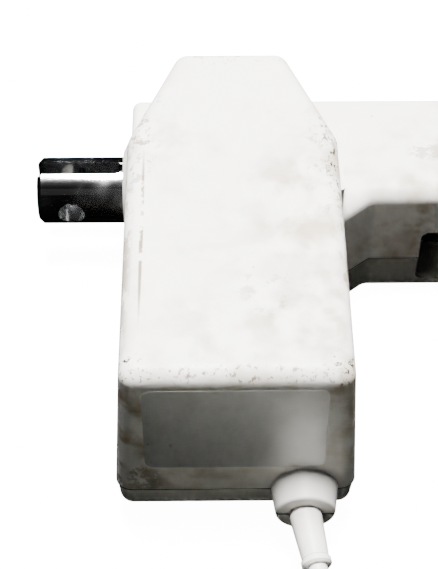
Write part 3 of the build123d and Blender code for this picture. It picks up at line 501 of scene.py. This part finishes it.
def makeHousingPlastic(v, shell):
    made, tree, shader, place = newMaterial(shell["name"])
    aged = useGroup(tree, ageMarks, Vector=place, Base=v["base"], Stain=v["stain"], Amount=shell["stains"],
                    Specks=shell["specks"], Scale=v["ageScale"])
    painted, worn = aged["Color"], aged["Dirt"]
    for mark in shell["marks"]:
        share = markShare(tree, place, mark)
        painted = blendColour(tree, share, painted, mark["colour"])
        worn = maths(tree, "MAXIMUM", worn, share)
    height = put(tree, "ShaderNodeSeparateXYZ", Vector=place).outputs["Z"]
    away = maths(tree, "ABSOLUTE", plus(tree, height, -v["seamHeight"] * mm))
    seam = flip(tree, spread(tree, away, *[reach * mm for reach in v["seamReach"]]))
    painted = blendColour(tree, times(tree, seam, v["seamStrength"]), painted, v["seamColour"])
    tree.links.new(painted, shader.inputs["Base Color"])
    rough = plus(tree, v["roughness"], times(tree, worn, v["dirtRoughness"]))
    tree.links.new(rough, shader.inputs["Roughness"])
    addGrain(tree, shader, place, v)
    return made


shellFinishes = {node: makeHousingPlastic(housingFinish, shell) for node, shell in shells.items()}


# Plain plastics and rubbers: what they share, then each one's own colour, sheen and grain
plasticShared = {
    "stains": 0.15,
    "stainDepth": 0.7,
    "specks": 0.0,
    "ageScale": 30.0,
    "dirtRoughness": 0.35,
    "grainScale": 1300.0,
    "grainWaves": 0.3,
    "grainDepth": 0.02,
    "grainStrength": 0.12,
}
plastics = {
    "relief_plastic": {"name": "reliefPlastic", "base": (0.80, 0.78, 0.74), "roughness": 0.45,
                       "stain": (0.5, 0.42, 0.3), "stains": 0.3, "specks": 0.3},
    "black_plastic": {"name": "blackPlastic", "base": (0.022, 0.022, 0.024), "roughness": 0.38},
    "nut_plastic": {"name": "acetal", "base": (0.78, 0.76, 0.71), "roughness": 0.33},
    "ferrite": {"name": "ferrite", "base": (0.05, 0.05, 0.055), "roughness": 0.62, "grainScale": 1800.0,
                "grainStrength": 0.3},
    "brush_carbon": {"name": "brushCarbon", "base": (0.03, 0.03, 0.032), "roughness": 0.5,
                     "grainScale": 1800.0, "grainStrength": 0.3},
    "board_green": {"name": "boardGreen", "base": (0.02, 0.12, 0.05), "roughness": 0.3, "grainScale": 700.0,
                    "grainStrength": 0.1},
    "seal_rubber": {"name": "sealRubber", "base": (0.02, 0.02, 0.02), "roughness": 0.6,
                    "grainScale": 1500.0, "grainStrength": 0.25},
    "cable_jacket": {"name": "cableJacket", "base": (0.76, 0.75, 0.71), "roughness": 0.4,
                     "stain": (0.45, 0.38, 0.28), "stains": 0.25, "specks": 0.2},
}


def makePlainPlastic(v):
    made, tree, shader, place = newMaterial(v["name"])
    stain = v.get("stain", [c * v["stainDepth"] for c in v["base"]])
    aged = useGroup(tree, ageMarks, Vector=place, Base=(*v["base"], 1), Stain=(*stain, 1),
                    Amount=v["stains"], Specks=v["specks"], Scale=v["ageScale"])
    tree.links.new(aged["Color"], shader.inputs["Base Color"])
    rough = plus(tree, v["roughness"], times(tree, aged["Dirt"], v["dirtRoughness"]))
    tree.links.new(rough, shader.inputs["Roughness"])
    addGrain(tree, shader, place, v)
    return made


# Metals, with lines along the way they were drawn or turned
metalShared = {
    "stretch": (1, 1, 1),
    "scale": 500.0,
    "lines": 0.12,
    "bump": 0.05,
    "bumpDepth": 0.01,
    "smudge": 0.1,
    "smudgeEdge": (0.4, 0.75),
    "shade": 0.35,
    "shadeDepth": 0.75,
}
metals = {
    "fork_chrome": {"name": "forkChrome", "base": (0.80, 0.81, 0.82), "roughness": 0.08,
                    "stretch": (1, 30, 30), "scale": 60.0, "lines": 0.05, "bump": 0.02, "smudge": 0.14},
    "rod_steel": {"name": "rodSteel", "base": (0.74, 0.75, 0.76), "roughness": 0.12,
                  "stretch": (0.4, 12, 12), "scale": 120.0, "lines": 0.10, "bump": 0.03},
    "gear_casting": {"name": "gearCasting", "base": (0.52, 0.53, 0.54), "roughness": 0.48, "scale": 700.0,
                     "lines": 0.2, "bump": 0.5},
    "wheel_bronze": {"name": "wheelBronze", "base": (0.62, 0.42, 0.19), "roughness": 0.26,
                     "stretch": (8, 1, 1), "scale": 300.0, "lines": 0.15, "bump": 0.1},
    "machined_steel": {"name": "machinedSteel", "base": (0.52, 0.53, 0.54), "roughness": 0.24,
                       "stretch": (14, 1, 1), "scale": 260.0, "lines": 0.16, "bump": 0.1},
    "bearing_steel": {"name": "bearingSteel", "base": (0.66, 0.67, 0.68), "roughness": 0.16,
                      "stretch": (10, 1, 1), "scale": 260.0},
    "screw_steel": {"name": "screwSteel", "base": (0.58, 0.58, 0.55), "roughness": 0.28, "lines": 0.15,
                    "bump": 0.1},
    "can_steel": {"name": "canSteel", "base": (0.47, 0.48, 0.49), "roughness": 0.3, "stretch": (1, 9, 1),
                  "scale": 160.0, "lines": 0.16, "bump": 0.1},
    "lamination_steel": {"name": "laminationSteel", "base": (0.24, 0.24, 0.25), "roughness": 0.45,
                         "stretch": (1, 40, 1), "scale": 60.0, "lines": 0.2, "bump": 0.4},
    "winding_copper": {"name": "windingCopper", "base": (0.62, 0.26, 0.11), "roughness": 0.3,
                       "scale": 900.0, "lines": 0.2, "bump": 0.8},
    "commutator_copper": {"name": "commutatorCopper", "base": (0.74, 0.39, 0.22), "roughness": 0.22,
                          "stretch": (1, 12, 1), "scale": 200.0},
    "bush_bronze": {"name": "bushBronze", "base": (0.50, 0.35, 0.18), "roughness": 0.4, "scale": 900.0,
                    "lines": 0.2, "bump": 0.5},
    "contact_brass": {"name": "contactBrass", "base": (0.74, 0.55, 0.26), "roughness": 0.2,
                      "stretch": (6, 1, 1), "scale": 300.0},
}


def makeMetal(v):
    made, tree, shader, place = newMaterial(v["name"])
    streaks = useGroup(tree, metalStreaks, Vector=place, Stretch=v["stretch"], Scale=v["scale"])
    shade = times(tree, streaks["Lines"], v["shade"])
    dark = [c * v["shadeDepth"] for c in v["base"]]
    tree.links.new(blendColour(tree, shade, (*v["base"], 1), (*dark, 1)), shader.inputs["Base Color"])
    shader.inputs["Metallic"].default_value = 1.0
    dull = times(tree, spread(tree, streaks["Smudge"], *v["smudgeEdge"]), v["smudge"])
    rough = plus(tree, v["roughness"], times(tree, streaks["Lines"], v["lines"]))
    tree.links.new(plus(tree, rough, dull), shader.inputs["Roughness"])
    addBump(tree, shader, streaks["Lines"], v["bumpDepth"], v["bump"])
    return made


finishes = {slot: makePlainPlastic({**plasticShared, **own}) for slot, own in plastics.items()}
finishes.update({slot: makeMetal({**metalShared, **own}) for slot, own in metals.items()})


def dress(piece, material):
    piece.data.materials.clear()
    piece.data.materials.append(material)


for row in frame["record"]["subparts"]:
    node = row["node"]
    if node in shellFinishes:
        dress(nodes[node], shellFinishes[node])
    else:
        dress(nodes[node], finishes[row["material_slot"]])
dress(supplyCord, finishes["cable_jacket"])
print("materials on", len(nodes), "nodes")


# Bare rating plate: thin film on the end face, which leans back by the draft
plate = {
    "centre": (59.6, 22.7),
    "width": 58.4,
    "height": 39.6,
    "corner": 3.2,
    "thickness": 0.18,
    "edgeBreak": 0.06,
    "bedding": 0.05,
    "faceAtParting": -126.0,
    "draft": 3.5,
    "arcSteps": 6,
}
plateFinish = {
    "light": (0.60, 0.60, 0.585, 1),
    "dull": (0.50, 0.49, 0.46, 1),
    "cloudScale": 35.0,
    "cloudDetail": 4.0,
    "cloudEdge": (0.35, 0.75),
    "rub": {"centre": (35.0, -125.0, 8.0), "reach": (20.0, 10.0, 16.0), "colour": (0.25, 0.2, 0.15, 1),
            "strength": 0.35, "solid": 0.3, "scale": 240.0},
    "metallic": 0.35,
    "roughness": 0.34,
    "cloudRoughness": 0.18,
    "grainScale": 1500.0,
    "grainWaves": 0.8,
    "grainDepth": 0.01,
    "grainStrength": 0.08,
}


def roundedOutline(width, height, corner, steps):
    points = []
    for i, (sx, sz) in enumerate(((1, 1), (-1, 1), (-1, -1), (1, -1))):
        cx = sx * (width / 2 - corner)
        cz = sz * (height / 2 - corner)
        for k in range(steps + 1):
            angle = math.radians(i * 90 + k * 90 / steps)
            points.append((cx + corner * math.cos(angle), cz + corner * math.sin(angle)))
    return points


def makePlateMaterial(v):
    made, tree, shader, place = newMaterial("plateFilm")
    cloud = noise(tree, place, v["cloudScale"], v["cloudDetail"])
    base = blendColour(tree, spread(tree, cloud, *v["cloudEdge"]), v["light"], v["dull"])
    rubbed = blendColour(tree, markShare(tree, place, v["rub"]), base, v["rub"]["colour"])
    tree.links.new(rubbed, shader.inputs["Base Color"])
    shader.inputs["Metallic"].default_value = v["metallic"]
    rough = plus(tree, v["roughness"], times(tree, cloud, v["cloudRoughness"]))
    tree.links.new(rough, shader.inputs["Roughness"])
    addGrain(tree, shader, place, v)
    return made


# One ring of the plate's edge, so far in from its outline and so far out from the end face
def plateRing(solid, v, inset, lift):
    slope = math.tan(math.radians(v["draft"]))
    width, height = v["width"] - 2 * inset, v["height"] - 2 * inset
    ring = []
    for x, z in roundedOutline(width, height, v["corner"] - inset, v["arcSteps"]):
        level = v["centre"][1] + z
        face = v["faceAtParting"] + (level - partingHeight) * slope
        ring.append(solid.verts.new(Vector((v["centre"][0] + x, face - lift, level)) * mm))
    return ring


def makePlate(v, finish):
    mesh = bpy.data.meshes.new("ratingPlate")
    solid = bmesh.new()
    back = plateRing(solid, v, 0.0, -v["bedding"])
    side = plateRing(solid, v, 0.0, v["thickness"] - v["edgeBreak"])
    front = plateRing(solid, v, v["edgeBreak"], v["thickness"])
    for low, high in ((back, side), (side, front)):
        for i in range(len(low)):
            j = (i + 1) % len(low)
            solid.faces.new((low[i], low[j], high[j], high[i]))
    solid.faces.new(front)
    solid.faces.new(list(reversed(back)))
    bmesh.ops.recalc_face_normals(solid, faces=solid.faces)
    solid.to_mesh(mesh)
    solid.free()
    piece = bpy.data.objects.new("ratingPlate", mesh)
    scene.collection.objects.link(piece)
    dress(piece, makePlateMaterial(finish))
    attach(piece, "housing")


makePlate(plate, plateFinish)
print("rating plate on")


# Cross-recess screws, one tree for every set; sink goes from a seat's face to the head's outer face
screwSets = {
    "housing_screws": {
        "name": "backScrews",
        "seats": [*[(x, y, -21.0) for y in (-115.5, -62.0) for x in (29.0, 91.0)],
                  (27.5, 19.5, floorLevel), (92.5, -39.6, floorLevel)],
        "sink": (0.0, 0.0, 1.2),
        "turn": (180.0, 0.0, 25.0),
        "shank": 16.0,
    },
    "end_cap_screws": {
        "name": "capScrews",
        "seats": [(259.0, y, z) for y in (-19.5, 19.5) for z in (-21.0, 17.0)],
        "sink": (0.0, 0.0, 0.0),
        "turn": (0.0, 90.0, 0.0),
        "shank": 8.4,
    },
}
screwSizes = {
    "Head Radius": 2.9,
    "Head Height": 2.0,
    "Slot Length": 3.3,
    "Slot Width": 0.75,
    "Slot Depth": 1.1,
    "Shank Radius": 1.5,
}
screwShape = {"crown": 0.76, "headSides": 40, "shankSides": 24}


def makeScrewTree(v):
    takes = {"Geometry": "NodeSocketGeometry", "Turn": "NodeSocketRotation", "Crown": number,
             "Shank Length": number, "Material": "NodeSocketMaterial"}
    takes.update({label: number for label in screwSizes})
    tree, given, out = newGroup("crossScrews", "GeometryNodeTree", takes, {"Geometry": "NodeSocketGeometry"})
    top = times(tree, given["Head Radius"], given["Crown"])
    head = put(tree, "GeometryNodeMeshCone", Vertices=v["headSides"], Radius_Bottom=given["Head Radius"],
               Radius_Top=top, Depth=given["Head Height"])
    cut = put(tree, "GeometryNodeMeshBoolean", {"operation": "DIFFERENCE"}, Mesh_1=head.outputs["Mesh"])
    for angle in (0.0, math.pi / 2):
        size = put(tree, "ShaderNodeCombineXYZ", X=given["Slot Length"], Y=given["Slot Width"],
                   Z=times(tree, given["Slot Depth"], 2.0))
        bar = put(tree, "GeometryNodeMeshCube", Size=size)
        high = put(tree, "ShaderNodeCombineXYZ", Z=given["Head Height"])
        moved = put(tree, "GeometryNodeTransform", Geometry=bar, Translation=high, Rotation=(0.0, 0.0, angle))
        tree.links.new(moved.outputs[0], cut.inputs["Mesh 2"])
    shank = put(tree, "GeometryNodeMeshCylinder", Vertices=v["shankSides"], Radius=given["Shank Radius"],
                Depth=given["Shank Length"])
    down = put(tree, "ShaderNodeCombineXYZ", Z=times(tree, given["Shank Length"], -0.5))
    lowered = put(tree, "GeometryNodeTransform", Geometry=shank.outputs["Mesh"], Translation=down)
    whole = tree.nodes.new("GeometryNodeJoinGeometry")
    tree.links.new(cut.outputs["Mesh"], whole.inputs[0])
    tree.links.new(lowered.outputs[0], whole.inputs[0])
    laid = put(tree, "GeometryNodeInstanceOnPoints", Points=given["Geometry"], Instance=whole,
               Rotation=given["Turn"])
    solid = put(tree, "GeometryNodeRealizeInstances", Geometry=laid)
    done = put(tree, "GeometryNodeSetMaterial", Geometry=solid, Material=given["Material"])
    tree.links.new(done.outputs[0], out[0])
    return tree


def makeScrews(node, v, tree):
    sink = Vector(v["sink"])
    deep = sink + sink.normalized() * screwSizes["Head Height"]
    mesh = bpy.data.meshes.new(v["name"])
    mesh.from_pydata([tuple((Vector(seat) + deep) * mm) for seat in v["seats"]], [], [])
    points = bpy.data.objects.new(v["name"], mesh)
    scene.collection.objects.link(points)
    layer = points.modifiers.new("screws", "NODES")
    layer.node_group = tree
    sockets = {item.name: item.identifier for item in tree.interface.items_tree if item.in_out == "INPUT"}
    for label, size in {**screwSizes, "Shank Length": v["shank"]}.items():
        layer[sockets[label]] = size * mm
    layer[sockets["Crown"]] = screwShape["crown"]
    layer[sockets["Turn"]] = [math.radians(angle) for angle in v["turn"]]
    layer[sockets["Material"]] = finishes["screw_steel"]
    bpy.context.view_layer.update()
    baked = bpy.data.meshes.new_from_object(points.evaluated_get(bpy.context.evaluated_depsgraph_get()))
    points.modifiers.clear()
    points.data = baked
    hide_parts(node)
    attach(points, "housing")
    return points


crossScrews = makeScrewTree(screwShape)
for node, screws in screwSets.items():
    made = makeScrews(node, screws, crossScrews)
    cadCorners = [tuple(round(c, 4) for c in corner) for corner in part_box(node)]
    print(made.name, len(made.data.polygons), "faces, in place of", cadCorners)


# Floor that glows white, and soft lamps over it
studio = {
    "floorSize": 3000.0,
    "floorColour": (0.93, 0.93, 0.925, 1),
    "floorRoughness": 0.75,
    "floorSheen": 0.2,
    "floorGlow": 14.0,
    "world": 0.014,
    "worldOffMetal": 0.85,  # share of the world's light that shiny pieces don't mirror
    "aim": (80.0, -30.0, 0.0),
}
lamps = {
    "key": {"place": (60.0, 170.0, 1150.0), "size": (340.0, 420.0), "power": 100.0},
    "left": {"place": (-850.0, 400.0, 750.0), "size": (600.0, 600.0), "power": 2.5},
    "right": {"place": (1000.0, 400.0, 700.0), "size": (600.0, 600.0), "power": 0.5},
    "fill": {"place": (100.0, -1000.0, 900.0), "size": (800.0, 500.0), "power": 0.03},
    "back": {"place": (0.0, 1300.0, 620.0), "size": (1200.0, 100.0), "power": 6.0},
}


def makeFloor(v):
    half = v["floorSize"] / 2
    mesh = bpy.data.meshes.new("floor")
    corners = [(-half, -half), (half, -half), (half, half), (-half, half)]
    mesh.from_pydata([(x * mm, y * mm, floorLevel * mm) for x, y in corners], [], [(0, 1, 2, 3)])
    floor = bpy.data.objects.new("floor", mesh)
    scene.collection.objects.link(floor)
    made, tree, shader, place = newMaterial("floorPaper")
    shader.inputs["Base Color"].default_value = v["floorColour"]
    shader.inputs["Roughness"].default_value = v["floorRoughness"]
    shader.inputs["Specular IOR Level"].default_value = v["floorSheen"]
    shader.inputs["Emission Color"].default_value = (1, 1, 1, 1)
    shader.inputs["Emission Strength"].default_value = v["floorGlow"]
    below = tree.nodes.new("ShaderNodeNewGeometry").outputs["Backfacing"]  # clear when seen from below
    clear = tree.nodes.new("ShaderNodeBsdfTransparent")
    either = put(tree, "ShaderNodeMixShader", i0=below, i1=shader, i2=clear)
    tree.links.new(either.outputs[0], tree.nodes["Material Output"].inputs["Surface"])
    dress(floor, made)
    floor.visible_diffuse = False
    floor.visible_glossy = False


def makeLamp(name, v, aim):
    place = Vector(v["place"]) * mm
    data = bpy.data.lights.new(name, "AREA")
    data.shape = "RECTANGLE"
    data.size, data.size_y = [side * mm for side in v["size"]]
    data.energy = v["power"]
    lamp = bpy.data.objects.new(name, data)
    lamp.location = place
    lamp.rotation_mode = "QUATERNION"
    lamp.rotation_quaternion = (Vector(aim) * mm - place).to_track_quat("-Z", "Y")
    scene.collection.objects.link(lamp)


def makeWorld(v):
    world = bpy.data.worlds.new("studio")
    world.use_nodes = True
    tree = world.node_tree
    rays = tree.nodes.new("ShaderNodeLightPath")
    kept = flip(tree, times(tree, rays.outputs["Is Glossy Ray"], v["worldOffMetal"]))
    sky = tree.nodes["Background"]
    sky.inputs["Color"].default_value = (1, 1, 1, 1)
    plug(tree, sky, "Strength", times(tree, kept, v["world"]))
    scene.world = world


makeFloor(studio)
for name, lamp in lamps.items():
    makeLamp(name, lamp, studio["aim"])
makeWorld(studio)
print("studio lit")
